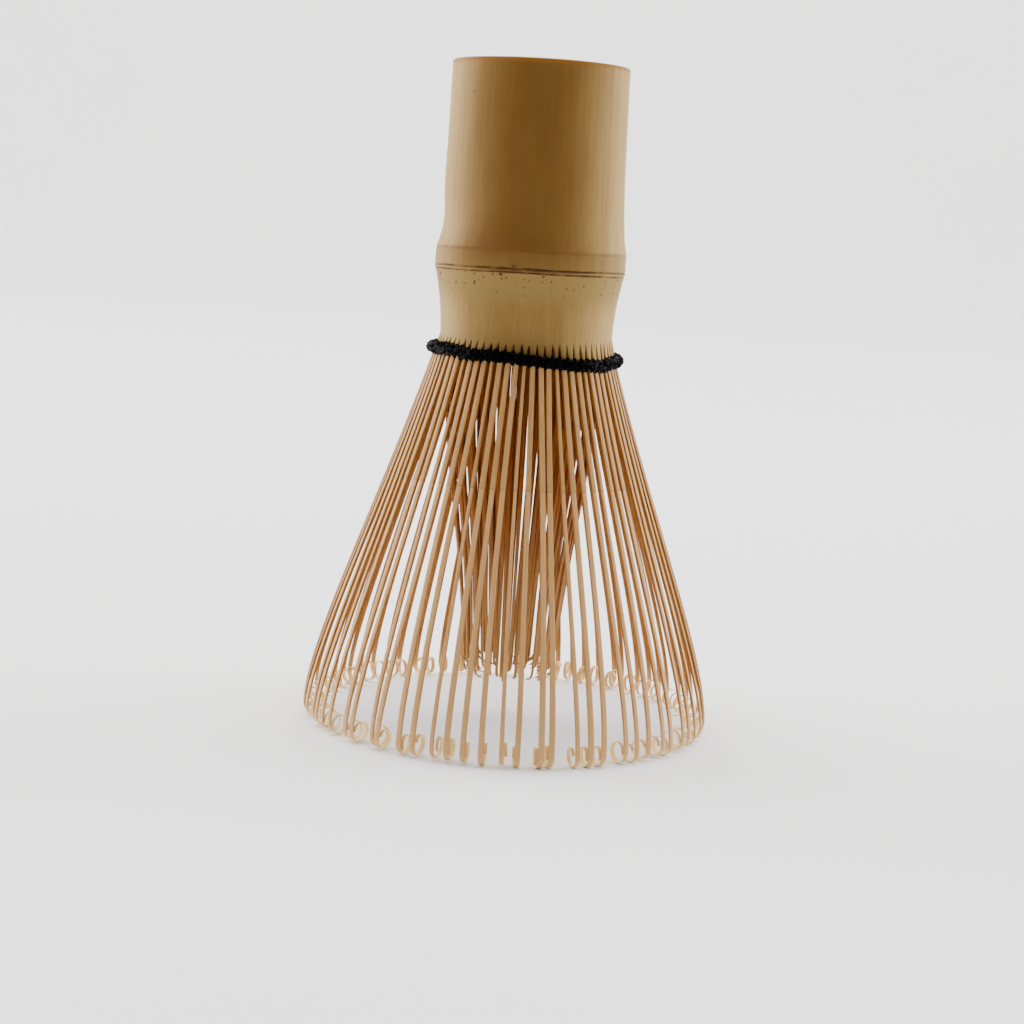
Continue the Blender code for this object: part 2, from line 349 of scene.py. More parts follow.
def add_strip(culm, s, outer_apex, inner_apex):
    """One strip between two slits, narrowing and leaning out to meet its tine behind the winding."""
    neck_radius = culm_radius(SLIT_TOP_Z)
    offsets = np.linspace(-1, 1, STRIP_COLUMNS + 1)
    columns = [(s * STRIP_COLUMNS + k) % culm.columns for k in range(STRIP_COLUMNS + 1)]
    centre = (s + 1) * TINE_PITCH
    stand_off, width_share = rng.uniform(-0.05, 0.07), tine_width_share(centre)
    outer_rows = [[outer_apex[k] for k in columns]]
    inner_rows = [[inner_apex[k] for k in columns]]
    for d in STRIP_SHARES:
        radius = neck_radius + (STRIP_END_RADIUS - neck_radius) * d**1.15 + stand_off * d
        half_pitch = math.radians(TINE_PITCH / 2) * radius
        half_width = half_pitch - (half_pitch - STRIP_HALF_WIDTH * width_share) * min(1.0, d / 0.5) ** 0.8
        lean = np.degrees(offsets * half_width / radius)
        top_z = slit_top(centre)
        z = (top_z + (strip_end(centre) - top_z) * d) * MM
        crown = 0.035 * (1 - offsets**2) * min(1, 3 * d) - 0.02 * min(1, 3 * d)
        outer_rows.append(culm.add_points(cylindrical((radius + crown) * MM, centre + lean, z)))
        inner_rows.append(culm.add_points(cylindrical((radius - STRIP_THICKNESS) * MM, centre + lean, z)))

    faces = culm.faces
    for upper, lower in zip(outer_rows, outer_rows[1:]):
        faces.extend((upper[k], lower[k], lower[k + 1], upper[k + 1]) for k in range(STRIP_COLUMNS))
    for upper, lower in zip(inner_rows, inner_rows[1:]):
        faces.extend((upper[k + 1], lower[k + 1], lower[k], upper[k]) for k in range(STRIP_COLUMNS))
    for k, flip in ((0, False), (STRIP_COLUMNS, True)):
        for r in range(len(STRIP_SHARES)):
            side = (outer_rows[r][k], inner_rows[r][k], inner_rows[r + 1][k], outer_rows[r + 1][k])
            faces.append(side[::-1] if flip else side)
    faces.append(tuple(outer_rows[-1] + inner_rows[-1][::-1]))


def make_culm():
    """The culm as one closed skin: bore, cut rim, outside, lower chamber and the strips between the slits."""
    culm = CulmMesh()
    bore, rim, skin = bore_rings(culm), rim_rings(culm), skin_rings(culm)
    slit_z = slit_heights(culm)
    outer_apex = culm.add_ring(culm_radius(SLIT_TOP_Z), slit_z)
    upper_rings = [*bore, *rim, *skin, outer_apex]
    culm.add_bands(upper_rings)

    inner_apex = culm.add_ring(culm_radius(SLIT_TOP_Z) - STRIP_THICKNESS, slit_z)
    lower_rings = [inner_apex, *chamber_rings(culm)]
    culm.add_bands(lower_rings)
    culm.faces.append(tuple(upper_rings[0]))
    culm.faces.append(tuple(lower_rings[-1][::-1]))
    for s in range(TINES):
        add_strip(culm, s, outer_apex, inner_apex)

    obj = new_object("culm", culm.vertices, culm.faces)
    set_attribute(obj, "scar", culm.scar)
    set_attribute(obj, "line", culm.line)
    for material in (culm_skin(), end_grain(), pith()):
        obj.data.materials.append(material)

    # Which faces show skin, cut wall and pith, in the order the bands were added
    skin_slot, grain_slot, pith_slot = 0, 1, 2
    rim_start = (len(bore) - 1) * culm.columns
    rim_end = rim_start + (len(rim) + 1) * culm.columns
    outside_end = (len(upper_rings) - 1) * culm.columns
    inside_end = outside_end + (len(lower_rings) - 1) * culm.columns
    slots = np.full(len(culm.faces), skin_slot, np.int32)
    slots[:rim_start] = pith_slot
    slots[rim_start:rim_end] = grain_slot
    slots[outside_end : outside_end + culm.columns] = grain_slot
    slots[outside_end + culm.columns : inside_end + 2] = pith_slot
    obj.data.polygons.foreach_set("material_index", slots)
    obj.data.set_sharp_from_angle(angle=math.radians(32))
    return obj


# ---------------------------------------------------------------- tines

def tine_azimuth(stave, k):
    return FIRST_STAVE + stave * 360 / STAVES + (k - (TINES_PER_STAVE - 1) / 2) * TINE_PITCH


def tine_width_share(azimuth):
    last_of_stave = round(azimuth / TINE_PITCH) % TINES_PER_STAVE == 2
    return NARROW_SHARE if last_of_stave else 1.0


def bezier(corners, t):
    t = np.asarray(t)[:, None]
    a, b, c, d = (np.array(corner, float) for corner in corners)
    return (1 - t) ** 3 * a + 3 * t * (1 - t) ** 2 * b + 3 * t * t * (1 - t) * c + t**3 * d


def ribbon_rings(points, azimuth_deg, width, thickness, section, twist):
    """Rings of a ribbon along 3-D points. Its wide side lies across the radius at each point's azimuth."""
    along = np.gradient(points, axis=0)
    along /= np.linalg.norm(along, axis=1)[:, None]
    a = np.radians(azimuth_deg)
    across = np.stack([-np.sin(a), np.cos(a), np.zeros_like(a)], axis=-1)
    across -= (across * along).sum(1)[:, None] * along
    across /= np.linalg.norm(across, axis=1)[:, None]
    outward = np.cross(along, across)
    cos, sin = np.cos(twist)[:, None], np.sin(twist)[:, None]
    across, outward = across * cos + outward * sin, outward * cos - across * sin
    u, v = section[:, 0], section[:, 1]
    return (points[:, None, :] + across[:, None, :] * (u[None, :] * width[:, None] / 2)[:, :, None]
            + outward[:, None, :] * (v[None, :] * thickness[:, None] / 2)[:, :, None])


# Sections, as shares of half the width and half the thickness. The first five points are the skin side.
OUTER_SECTION = np.array([
    (-0.95, 0.90), (-0.5, 1.04), (0.0, 1.08), (0.5, 1.04), (0.95, 0.90),
    (1.0, 0.66), (0.98, -0.82), (0.86, -1.0), (-0.86, -1.0), (-0.98, -0.82), (-1.0, 0.66),
])
SKIN_POINTS = 5
INNER_SECTION = np.array([
    (-0.8, 0.9), (0.8, 0.9), (1.0, 0.4), (0.9, -0.8), (0.0, -1.0), (-0.9, -0.8), (-1.0, 0.4),
])


def loop_points(scale, turn_deg, centre_r, centre_z):
    """(radius, height) points of a tip's curl, getting tighter as it goes."""
    steps = int(turn_deg / 9)
    share = np.arange(steps + 1) / steps
    angle = np.radians(-turn_deg * share)
    radius = scale * (LOOP_RADIUS - LOOP_TIGHTENING * share)
    return np.stack([centre_r + radius * np.cos(angle), centre_z + radius * np.sin(angle)], axis=-1)


def distance_along(points):
    steps = np.linalg.norm(np.diff(points, axis=0), axis=1)
    return np.concatenate([[0], np.cumsum(steps)])


def add_ledge(path, flare_rows):
    """Moves one point of the flare onto the mark and adds one close on each side. Gives its row as well."""
    z = path[:, 1]
    row = int(np.argmin(np.abs(z[:flare_rows] - MARK_Z)))
    step = path[row + 1] - path[row]
    path[row] = path[row] + step * ((z[row] - MARK_Z) / max(z[row] - z[row + 1], 1e-6))
    step = path[row + 1] - path[row]
    step = LEDGE * step / np.linalg.norm(step)
    return np.insert(path, (row, row + 1), (path[row] - step, path[row] + step), axis=0), row + 1


def outer_tine(tubes, azimuth):
    """One outer tine, from under the thread down its flare and round its curled tip."""
    a = math.radians(azimuth)
    in_front = math.sin(a) < 0
    lean = rng.uniform(-LEAN, LEAN) - (FRONT_CLOSING * math.cos(a) if in_front else 0)
    narrow = tine_width_share(azimuth)
    scale = rng.uniform(0.94, 1.1)
    turn = rng.choice(LOOP_TURNS) + rng.uniform(-8, 8)
    lift = rng.uniform(0.0, 0.35)
    pull = rng.uniform(0.0, 0.2)

    centre_r = RING_RADIUS - pull - LOOP_RADIUS * scale
    loop = loop_points(scale, turn, centre_r, 0.0)
    loop[:, 1] += lift + 0.12 - loop[:, 1].min()
    start = np.array([STRIP_END_RADIUS - STRIP_THICKNESS / 2, strip_end(azimuth) - 0.03])
    corners = (start, start + (5.8, -19.3), loop[0] + (0.0, 8.0), loop[0])
    flare = bezier(corners, np.linspace(0, 1, 46)[:-1])
    path, mark_row = add_ledge(np.vstack([flare, loop]), len(flare))

    length = distance_along(path)
    flare_end = len(path) - len(loop)
    share = np.clip(length / length[flare_end], 0, 1)
    sideways = math.radians(lean) * path[flare_end, 0] * share
    sideways = sideways + rng.uniform(-0.35, 0.35) * np.sin(np.pi * share)
    beyond = np.clip((length - length[flare_end]) / (length[-1] - length[flare_end]), 0, 1)
    opens = math.copysign(1, -math.cos(a)) if in_front else rng.choice((-1, 1))
    sideways = sideways + opens * rng.uniform(0.25, 0.75) * beyond**1.3
    azimuths = azimuth + np.degrees(sideways / path[:, 0])
    points = cylindrical(path[:, 0] * MM, azimuths, path[:, 1] * MM)

    after_mark = np.arange(len(path)) > mark_row
    width = np.interp(share + 0.15 * beyond, (0, 0.25, 0.75, 1.0, 1.15), (0.76, 0.80, 0.88, 0.93, 0.66))
    width = width * (narrow + (1 - narrow) * 0.5 * share) * rng.uniform(0.93, 1.05) - 0.07 * after_mark
    width[-1] *= 0.75
    thins_at, thins_to = (0, 0.35, 0.8, 1.0, 1.5, 2.0), (0.62, 0.56, 0.44, 0.3, 0.14, 0.09)
    thickness = np.interp(share + beyond, thins_at, thins_to) - 0.03 * after_mark
    twist = np.radians(rng.uniform(-7, 7)) * share
    rings = ribbon_rings(points, azimuths, width * MM, thickness * MM, OUTER_SECTION, twist)

    skin = np.where(np.arange(len(OUTER_SECTION)) < SKIN_POINTS, 1.0, 0.0)
    u = OUTER_SECTION[:, 0] * 0.42 + 3.0 * (1 - skin)
    uv = np.stack(np.broadcast_arrays(u[None, :] + 10 * rng.randrange(40), length[:, None]), axis=-1)
    mark = np.zeros(len(path))
    mark[mark_row] = 1.0
    tubes.add(rings, uv, skin=skin[None, :], mark=mark[:, None], tone=rng.uniform(0, 1),
              upper=(~after_mark).astype(float)[:, None], tip=np.clip(share + beyond - 0.9, 0, 1)[:, None])


def inner_tine(tubes, azimuth):
    """One inner tine, from the underside of the culm down into the middle bundle, its tip hooked inwards."""
    end_r = INNER_TIP_RADIUS + rng.uniform(-0.35, 0.35)
    end_z = INNER_TIP_Z + rng.uniform(-1.4, 1.6)
    top = np.array([11.75, slit_top(azimuth) + 0.35])
    bend = np.array([10.95, HINGE_Z / MM])
    belly, waist = rng.uniform(0.4, 3.0), rng.uniform(0.0, 1.1)
    upper = bezier((top, top + (-0.25, -0.7), bend + (0.25, 0.9), bend), np.linspace(0, 1, 7)[:-1])
    lower = bezier((bend, bend + (belly, -11), (7.6 + waist, 30.0), (end_r, end_z)), np.linspace(0, 1, 25))
    hook = np.array([(end_r - 0.25, end_z - 0.9), (end_r - 0.75, end_z - 1.4), (end_r - 1.4, end_z - 1.55)])
    path = np.vstack([upper, lower, hook])
    length = distance_along(path)
    share = length / length[-1]
    sideways = rng.uniform(-0.45, 0.45) * share * 0.8 + rng.uniform(-0.3, 0.3) * np.sin(np.pi * share)
    azimuths = azimuth + TINE_PITCH / 2 + np.degrees(sideways / path[:, 0])
    points = cylindrical(path[:, 0] * MM, azimuths, path[:, 1] * MM)
    width = np.interp(share, (0, 0.3, 1), (0.85, 0.8, 0.42)) * rng.uniform(0.85, 1.1)
    thickness = np.interp(share, (0, 0.5, 1), (0.5, 0.4, 0.2))
    twist = np.radians(rng.uniform(-14, 14)) * share
    rings = ribbon_rings(points, azimuths, width * MM, thickness * MM, INNER_SECTION, twist)
    u = INNER_SECTION[:, 0] * 0.25 + 10 * rng.randrange(40)
    uv = np.stack(np.broadcast_arrays(u[None, :], length[:, None]), axis=-1)
    tubes.add(rings, uv, tone=rng.uniform(0, 1), share=share[:, None])


def make_staves(prefix, cad_prefix, tine, materials):
    """Eighteen pieces of four tines, each its own stave."""
    for stave in range(STAVES):
        tubes = Tubes()
        for k in range(TINES_PER_STAVE):
            tine(tubes, tine_azimuth(stave, k))
        piece = tubes.build(f"{prefix}_{stave + 1:02d}")
        for material in materials:
            piece.data.materials.append(material)
        piece.data.set_sharp_from_angle(angle=math.radians(60))
        body = f"{cad_prefix}_{stave + 1:02d}"
        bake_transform(piece)
        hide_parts(body)


# ---------------------------------------------------------------- thread

def helix_strands(centre, across, outward, radius, turns, phase):
    """A strand that winds round a centreline."""
    angle = 2 * np.pi * turns + phase
    return centre + radius * (np.cos(angle)[:, None] * across + np.sin(angle)[:, None] * outward)


def frame_along(points, outward_hint):
    along = np.gradient(points, axis=0)
    along /= np.linalg.norm(along, axis=1)[:, None]
    across = np.cross(along, outward_hint)
    across /= np.linalg.norm(across, axis=1)[:, None]
    return across, np.cross(across, along)


def round_tube(tubes, points, radius, sides):
    across, outward = frame_along(points, np.array([0.31, 0.27, 0.91]))
    angle = np.arange(sides) * 2 * np.pi / sides
    cos, sin = np.cos(angle)[None, :, None], np.sin(angle)[None, :, None]
    circle = cos * across[:, None, :] + sin * outward[:, None, :]
    radii = np.broadcast_to(radius, len(points))[:, None, None]
    tubes.add(points[:, None, :] + circle * radii)


def add_yarn(tubes, centre, outward_hint, diameter, ply_pitch, strand_pitch, strands=3, sides=6):
    """A two-ply yarn along a centreline, each ply of a few twisted strands."""
    across, outward = frame_along(centre, outward_hint)
    length = distance_along(centre)
    for ply in (0, 1):
        ply_line = helix_strands(centre, across, outward, 0.25 * diameter, length / ply_pitch, ply * np.pi)
        for s in range(strands):
            line = helix_strands(ply_line, across, outward, 0.14 * diameter, -length / strand_pitch,
                                 s * 2 * np.pi / strands + ply)
            round_tube(tubes, line, 0.135 * diameter, sides)


def thread_band():
    """Centreline of the yarn outside the tines: two turns, the second above the first."""
    phi = np.arange(0, 720.01, 0.6)
    azimuth = THREAD_STEP_AZIMUTH + phi
    height = thread_middle(azimuth) + np.where(phi < 360, -YARN_ROW, YARN_ROW)
    reach = 11
    kernel = np.hanning(2 * reach + 1)
    height = np.convolve(np.pad(height, reach, mode="edge"), kernel / kernel.sum(), "valid")
    scallop = 0.07 * np.cos(np.radians(azimuth * 360 / TINE_PITCH))
    radius = np.interp(phi, (330, 390), (FIRST_TURN_RADIUS, SECOND_TURN_RADIUS))
    return azimuth, radius + scallop, height


def add_stitches(tubes):
    """One turn round the winding and behind each tine."""
    steps = 26
    turns = np.arange(TINES * steps + 1) / steps
    azimuth = THREAD_STEP_AZIMUTH + 1.0 + turns * TINE_PITCH
    phase = 2 * np.pi * turns
    wobble = 0.05 * np.sin(2 * GOLDEN_ANGLE * turns) + 0.04 * np.sin(5.1 * turns)
    radius = STITCH_MIDDLE_RADIUS + (STITCH_REACH[0] + wobble) * np.cos(phase)
    height = thread_middle(azimuth) + (STITCH_REACH[1] + wobble) * np.sin(phase)
    line = cylindrical(radius * MM, azimuth + 0.9 * np.sin(phase), height * MM)
    outward = cylindrical(1.0, azimuth, 0.3)
    add_yarn(tubes, line, outward, STITCH_DIAMETER * MM, 1.1 * MM, 0.7 * MM, strands=2, sides=5)


def add_loose_fibres(tubes):
    """Fibres that stand off the yarn."""
    for _ in range(LOOSE_FIBRES):
        a = rng.uniform(0, 360)
        z = thread_middle(a) + rng.uniform(-0.9, 0.9)
        reach, drift, rise = rng.uniform(0.12, 0.42), rng.uniform(-2.2, 2.2), rng.uniform(-0.3, 0.3)
        t = np.linspace(0, 1, 6)
        points = cylindrical((14.45 + reach * np.sin(2.2 * t)) * MM, a + drift * t, (z + rise * t) * MM)
        round_tube(tubes, points, np.linspace(0.016, 0.008, 6) * MM, 3)


def make_thread():
    tubes = Tubes()
    azimuth, radius, height = thread_band()
    line = cylindrical(radius * MM, azimuth, height * MM)
    add_yarn(tubes, line, cylindrical(1.0, azimuth, 0.0), YARN_DIAMETER * MM, 1.9 * MM, 1.1 * MM)

    # A third turn behind the two, which fills the middle
    azimuth = np.arange(0, 360.01, 1.2)
    line = cylindrical(BACK_TURN_RADIUS * MM, azimuth, thread_middle(azimuth) * MM)
    outward = cylindrical(1.0, azimuth, 0.0)
    add_yarn(tubes, line, outward, BACK_TURN_DIAMETER * MM, 1.9 * MM, 1.1 * MM, strands=2)
    add_stitches(tubes)

    # The turn between the outer and the inner tines
    azimuth = np.arange(0, 360.01, 1.0)
    radius = INSIDE_TURN_RADIUS + 0.05 * np.sin(np.radians(9 * azimuth))
    height = INSIDE_TURN_Z + 0.12 * np.sin(np.radians(5 * azimuth))
    line = cylindrical(radius * MM, azimuth, height * MM)
    outward = cylindrical(1.0, azimuth, 0.0)
    add_yarn(tubes, line, outward, INSIDE_TURN_DIAMETER * MM, 1.5 * MM, 0.9 * MM, strands=2, sides=5)

    add_loose_fibres(tubes)
    thread = tubes.build("thread_winding")
    thread.data.materials.append(black_thread())
    return thread


# ---------------------------------------------------------------- materials

class Nodes:
    """Short calls for building a material's node tree."""

    def __init__(self, name):
        self.material = bpy.data.materials.new(name)
        self.material.use_nodes = True
        self.tree = self.material.node_tree
        self.shader = self.tree.nodes["Principled BSDF"]

    def node(self, kind, **settings):
        node = self.tree.nodes.new(kind)
        for key, value in settings.items():
            setattr(node, key, value)
        return node

    def put(self, socket, value):
        if isinstance(value, bpy.types.NodeSocket):
            self.tree.links.new(value, socket)
        elif isinstance(value, tuple) and len(value) == 3 and socket.type == "RGBA":
            socket.default_value = (*value, 1.0)
        else:
            socket.default_value = value

    def math(self, operation, a, b=0.0):
        node = self.node("ShaderNodeMath", operation=operation)
        self.put(node.inputs[0], a)
        self.put(node.inputs[1], b)
        return node.outputs[0]

    def range(self, value, low, high, to_low=0.0, to_high=1.0):
        node = self.node("ShaderNodeMapRange", interpolation_type="SMOOTHSTEP")
        for socket, v in zip(node.inputs, (value, low, high, to_low, to_high)):
            self.put(socket, v)
        return node.outputs[0]

    def mix(self, factor, a, b):
        node = self.node("ShaderNodeMix", data_type="RGBA")
        self.put(node.inputs["Factor"], factor)
        self.put(node.inputs[6], a)
        self.put(node.inputs[7], b)
        return node.outputs[2]

    def attribute(self, name):
        return self.node("ShaderNodeAttribute", attribute_name=name).outputs["Fac"]

    def place(self, source, scale):
        """Object coordinates or the UV map, scaled."""
        coordinates = self.node("ShaderNodeTexCoord").outputs[source]
        mapping = self.node("ShaderNodeMapping")
        self.put(mapping.inputs["Vector"], coordinates)
        mapping.inputs["Scale"].default_value = scale
        return mapping.outputs[0]

    def noise(self, vector, detail=3.0, roughness=0.55):
        node = self.node("ShaderNodeTexNoise")
        self.put(node.inputs["Vector"], vector)
        node.inputs["Scale"].default_value = 1.0
        node.inputs["Detail"].default_value = detail
        node.inputs["Roughness"].default_value = roughness
        return node.outputs["Fac"]

    def cells(self, vector):
        node = self.node("ShaderNodeTexVoronoi")
        self.put(node.inputs["Vector"], vector)
        node.inputs["Scale"].default_value = 1.0
        return node.outputs["Distance"], node.outputs["Color"]

    def xyz(self):
        coordinates = self.node("ShaderNodeTexCoord").outputs["Object"]
        split = self.node("ShaderNodeSeparateXYZ")
        self.put(split.inputs[0], coordinates)
        return split.outputs

    def finish(self, colour, roughness, height=None, distance=0.02 * MM, strength=0.5, **inputs):
        self.put(self.shader.inputs["Base Color"], colour)
        self.put(self.shader.inputs["Roughness"], roughness)
        if height is not None:
            relief = self.node("ShaderNodeBump")
            relief.inputs["Strength"].default_value = strength
            relief.inputs["Distance"].default_value = distance
            self.put(relief.inputs["Height"], height)
            self.put(self.shader.inputs["Normal"], relief.outputs[0])
        for name, value in inputs.items():
            self.put(self.shader.inputs[name.replace("_", " ")], value)
        return self.material


# Colours are linear RGB, and heights and distances in the materials are in metres
STRAW = (0.37, 0.237, 0.072)
STRAW_PALE = (0.44, 0.292, 0.10)
STRAW_DARK = (0.114, 0.050, 0.0074)
SPLIT_SIDE = (0.25, 0.082, 0.0065)
SPLIT_PALE = (0.96, 0.74, 0.36)
STAIN = (0.05, 0.016, 0.006)
NODE_BROWN = (0.13, 0.062, 0.013)
NODE_GREEN = (0.235, 0.152, 0.045)
SPECK = (0.05, 0.022, 0.005)
DOT_PLACE = (-0.00957, -0.00925, 0.0950)


def browner_front_and_shade(n, colour):
    """A broad browner stretch up the culm's front, fainter under the node: partly the skin's own tone and
    partly painted shade, where the lights at the sides leave the front dark.
    """
    x, y, z = n.xyz()
    cloud = n.noise(n.place("Object", (75, 75, 45)), detail=3)
    forward = n.math("ADD", n.math("MULTIPLY", y, 0.99), n.math("MULTIPLY", x, 0.1))
    reach = n.range(x, -0.004, 0.006, -0.002, -0.001)
    # Partly painted shade: the front darkens where the side lights leave it in shade
    front = n.range(n.math("ADD", forward, n.math("MULTIPLY", cloud, 0.005)), -0.0118, reach, 0.96, 0.0)
    above_node = n.range(z, 0.069, 0.0735, 0.7, 1.0)
    return n.mix(n.math("MULTIPLY", front, above_node), colour, STRAW_DARK)


def node_zone(n, colour):
    """A brown band between the node's two lines, then a paler, greener zone with specks."""
    z = n.xyz()[2]
    band = n.math("MULTIPLY", n.range(z, 0.0693, 0.0697), n.range(z, 0.0722, 0.0729, 1.0, 0.0))
    colour = n.mix(n.math("MULTIPLY", band, 0.35), colour, NODE_BROWN)
    zone = n.math("MULTIPLY", n.range(z, 0.0632, 0.0672), n.range(z, 0.0690, 0.0695, 1.0, 0.0))
    colour = n.mix(n.math("MULTIPLY", zone, 0.75), colour, NODE_GREEN)
    speck_zone = n.math("MULTIPLY", n.range(z, 0.0653, 0.0672), n.range(z, 0.0690, 0.0693, 1.0, 0.0))
    for scale, rare, size in ((520, 0.45, 0.26), (1500, 0.5, 0.3)):
        distance, pick = n.cells(n.place("Object", (scale, scale, 1.3 * scale)))
        picked = n.node("ShaderNodeSeparateColor")
        n.put(picked.inputs[0], pick)
        speck = n.math("LESS_THAN", distance, n.range(picked.outputs[0], rare, 1.0, 0.0, size))
        strength = n.math("MULTIPLY", n.math("MULTIPLY", speck, speck_zone), 0.85)
        colour = n.mix(strength, colour, SPECK)
    return colour


def culm_skin():
    """Smooth bamboo skin: fine upright fibres, browner at the node, specks under it, a dark scar."""
    n = Nodes("culm_skin")
    _, y, z = n.xyz()
    fine = n.noise(n.place("Object", (2600, 2600, 34)), detail=4, roughness=0.62)
    broad = n.noise(n.place("Object", (420, 420, 9)), detail=3)
    colour = n.mix(n.range(fine, 0.3, 0.72), STRAW, STRAW_PALE)
    colour = n.mix(n.range(broad, 0.42, 0.7, 0.0, 0.15), colour, STRAW_DARK)
    colour = node_zone(n, browner_front_and_shade(n, colour))

    # The scar and the node's upper line, both broken up
    patches = n.noise(n.place("Object", (260, 260, 500)), detail=4, roughness=0.7)
    strength = n.range(y, -0.0135, 0.004, 1.0, 0.35)
    scar = n.math("MULTIPLY", n.attribute("scar"), n.range(patches, 0.36, 0.56))
    colour = n.mix(n.math("MULTIPLY", n.math("MULTIPLY", scar, strength), 0.95), colour, STAIN)
    line = n.math("MULTIPLY", n.attribute("line"), n.range(patches, 0.40, 0.62, 0.12, 0.6))
    colour = n.mix(line, colour, (0.12, 0.05, 0.012))

    # A warm line of painted light under the cut edge, the glow of light shining through the thin wall there,
    # and one dark dot high up on the left
    colour = n.mix(n.range(z, 0.0990, 0.0999, 0.0, 0.65), colour, (0.27, 0.09, 0.010))
    apart = n.node("ShaderNodeVectorMath", operation="DISTANCE")
    n.put(apart.inputs[0], n.node("ShaderNodeTexCoord").outputs["Object"])
    apart.inputs[1].default_value = DOT_PLACE
    colour = n.mix(n.range(apart.outputs["Value"], 0.0001, 0.0002, 0.75, 0.0), colour, STAIN)

    roughness = n.range(broad, 0.3, 0.7, 0.54, 0.62)
    height = n.math("ADD", n.math("MULTIPLY", fine, 0.7), n.math("MULTIPLY", scar, -0.8))
    return n.finish(colour, roughness, height, distance=0.02 * MM, strength=0.3,
                    Subsurface_Weight=0.08, Subsurface_Scale=0.6 * MM, Subsurface_Radius=(1.0, 0.5, 0.2),
                    Specular_IOR_Level=0.08)


def end_grain():
    """The cut wall: pale ground with the dark dots of the fibre bundles, closer together at the skin."""
    n = Nodes("end_grain")
    x, y, _ = n.xyz()
    squared = n.math("ADD", n.math("MULTIPLY", x, x), n.math("MULTIPLY", y, y))
    radius = n.math("SQRT", squared)
    distance, _ = n.cells(n.place("Object", (2100, 2100, 300)))
    dot = n.range(distance, 0.16, 0.34, 1.0, 0.0)
    crowd = n.range(radius, 0.0106, 0.0131, 0.35, 1.0)
    ground = n.mix(n.noise(n.place("Object", (900, 900, 900))), (0.46, 0.27, 0.085), (0.58, 0.37, 0.13))
    colour = n.mix(n.math("MULTIPLY", dot, crowd), ground, (0.20, 0.075, 0.015))
    colour = n.mix(n.range(radius, 0.0128, 0.0131, 0.0, 0.9), colour, (0.22, 0.075, 0.010))
    return n.finish(colour, 0.6, dot, distance=0.03 * MM, strength=0.4)


def pith():
    """The papery lining of the hollow."""
    n = Nodes("pith")
    streaks = n.noise(n.place("Object", (900, 900, 60)), detail=4, roughness=0.6)
    cloud = n.noise(n.place("Object", (180, 180, 120)), detail=3)
    colour = n.mix(n.range(streaks, 0.3, 0.7), (0.56, 0.39, 0.19), (0.70, 0.54, 0.31))
    colour = n.mix(n.range(cloud, 0.5, 0.75, 0.0, 0.5), colour, (0.40, 0.23, 0.08))
    return n.finish(colour, 0.7, streaks, distance=0.06 * MM, strength=0.5)


def tine_bamboo():
    """An outer tine: pale skin outside, warm split sides and back, and a change of tone at its mark."""
    n = Nodes("tine_bamboo")
    fine = n.noise(n.place("UV", (7.0, 0.16, 1)), detail=4, roughness=0.6)
    broad = n.noise(n.place("UV", (1.3, 0.05, 1)), detail=2)
    tone = n.attribute("tone")
    skin = n.mix(n.range(fine, 0.3, 0.7), (0.37, 0.19, 0.062), (0.50, 0.28, 0.112))
    skin = n.mix(n.range(tone, 0.0, 1.0, 0.0, 0.4), skin, (0.36, 0.18, 0.045))
    lower = n.math("SUBTRACT", 1.0, n.attribute("upper"))
    skin = n.mix(n.math("MULTIPLY", lower, 0.5), skin, (0.58, 0.325, 0.125))
    side = n.mix(n.range(fine, 0.25, 0.75), SPLIT_SIDE, (0.39, 0.15, 0.015))
    tip = n.range(n.attribute("tip"), -0.02, 0.25)
    side = n.mix(tip, side, SPLIT_PALE)
    skin = n.mix(n.math("MULTIPLY", tip, 0.5), skin, (0.88, 0.56, 0.22))
    colour = n.mix(n.range(n.attribute("skin"), 0.2, 0.8), side, skin)
    colour = n.mix(n.range(broad, 0.5, 0.8, 0.0, 0.3), colour, (0.28, 0.12, 0.025))
    colour = n.mix(n.math("MULTIPLY", n.attribute("mark"), 0.34), colour, (0.20, 0.085, 0.02))
    roughness = n.range(fine, 0.3, 0.7, 0.42, 0.56)
    return n.finish(colour, roughness, fine, distance=0.03 * MM, strength=0.4, Specular_IOR_Level=0.2,
                    Subsurface_Weight=0.15, Subsurface_Scale=0.4 * MM, Subsurface_Radius=(1.0, 0.5, 0.2))


def inner_bamboo_with_painted_shade():
    """Inner tines: split wood without skin, warmer and redder than the outside, and darker than that wood is:
    partly painted shade, as they stand in shadow inside the ring of outer tines.
    """
    n = Nodes("inner_bamboo_with_painted_shade")
    fine = n.noise(n.place("UV", (8.0, 0.2, 1)), detail=4, roughness=0.6)
    # The deep red-brown is partly the split wood's own colour and partly painted shade of the whisk's inside
    colour = n.mix(n.range(fine, 0.3, 0.7), (0.18, 0.044, 0.004), (0.33, 0.11, 0.014))
    colour = n.mix(n.range(n.attribute("tone"), 0, 1, 0.0, 0.5), colour, (0.13, 0.026, 0.0025))
    colour = n.mix(n.range(n.attribute("share"), 0.35, 1.0, 0.0, 0.55), colour, (0.55, 0.32, 0.11))
    return n.finish(colour, 0.6, fine, distance=0.03 * MM, strength=0.4, Specular_IOR_Level=0.08,
                    Subsurface_Weight=0.1, Subsurface_Scale=0.4 * MM, Subsurface_Radius=(1.0, 0.5, 0.2))


